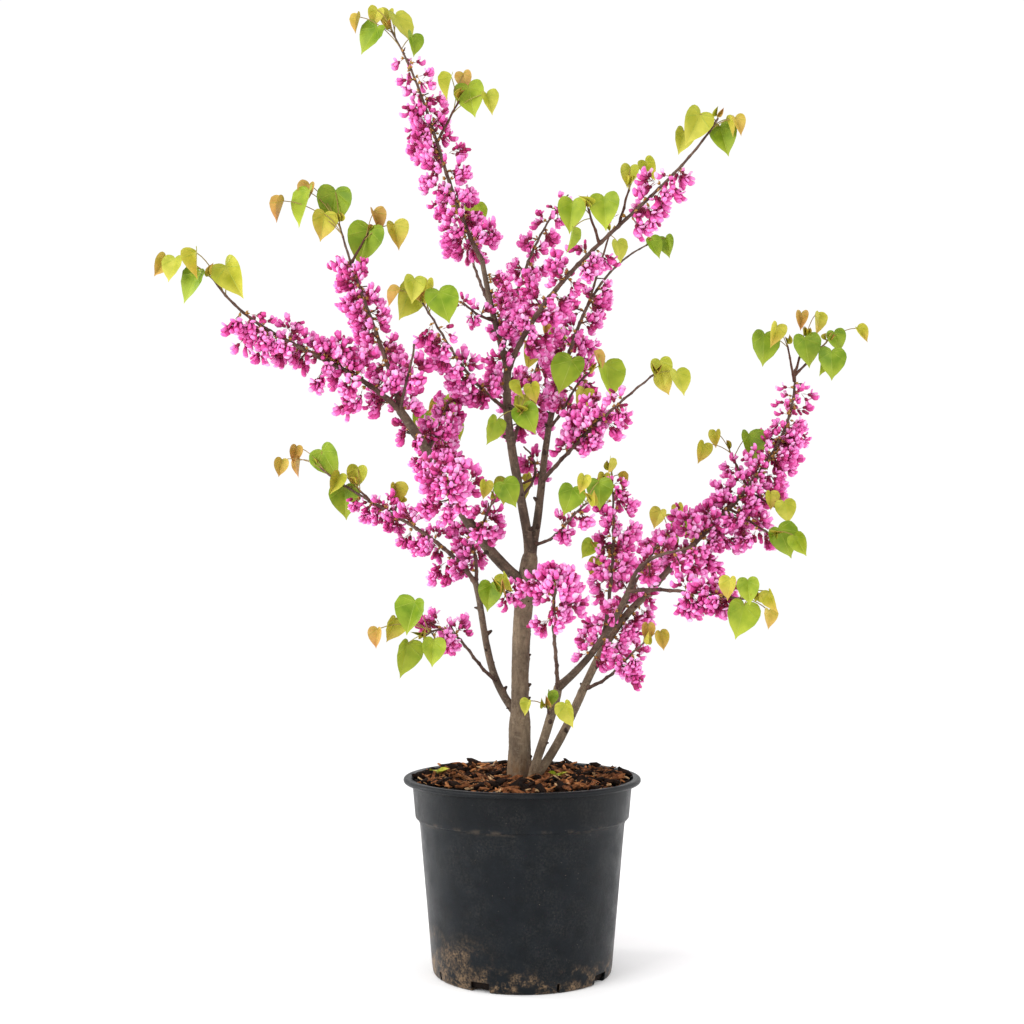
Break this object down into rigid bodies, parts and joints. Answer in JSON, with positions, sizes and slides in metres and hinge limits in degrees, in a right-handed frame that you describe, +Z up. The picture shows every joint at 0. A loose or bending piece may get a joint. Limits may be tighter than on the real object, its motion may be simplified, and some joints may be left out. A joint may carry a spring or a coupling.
{
  "type": "potted tree",
  "caption": "Young multi-stemmed judas tree in blossom, its boughs fanned out over a black tapered nursery pot with a collar and a rolled rim, filled with bark mulch.",
  "frame": {"origin": "centre of the pot's flat underside", "axes": "+Z up along the trunk, -Y towards the front that the picture shows, +X to the right of that view"},
  "size_m": [0.8638, 0.4811, 1.1828],
  "materials": {
    "pot": "injection-moulded black plastic with a soft sheen, dusty and soiled at the foot",
    "mulch": "loose red-brown bark chips",
    "bark": "young grey-brown bark, finely cracked lengthways",
    "blossom": "soft pink pea flowers with a few green and bronze leaves"
  },
  "bodies": {
    "root": {"pot": "pot", "mulch": "mulch", "trunk": "bark", "leader": "bark", "bough_fork": "bark", "bough_left": "bark", "stem_left": "bark", "bough_top": "bark", "stem_front": "bark", "bough_front": "bark", "stem_rear": "bark", "mass_top": "blossom", "mass_arm": "blossom", "mass_arm_rear": "blossom", "mass_heart": "blossom", "mass_spray_left": "blossom", "mass_bud_twig": "blossom", "mass_leader_sprig": "blossom", "mass_fork_inner": "blossom", "mass_fork_right": "blossom", "mass_fork_low": "blossom", "mass_leader_rear": "blossom", "mass_left_arm": "blossom", "mass_left_rise": "blossom", "mass_left_short": "blossom", "mass_left_inner": "blossom", "mass_left_ball": "blossom", "mass_left_twig": "blossom", "mass_low_arm": "blossom", "mass_low_rise": "blossom", "mass_low_spur": "blossom", "mass_front_ball": "blossom", "mass_front_tip": "blossom", "mass_front_arm": "blossom", "mass_front_rise": "blossom", "mass_right_arm": "blossom", "mass_rear_low": "blossom", "mass_foot_sprig": "blossom", "mass_trunk_sprig": "blossom", "mass_back_left": "blossom", "mass_back_middle": "blossom", "mass_back_right": "blossom", "mass_back_top": "blossom"}
  },
  "joints": []
}
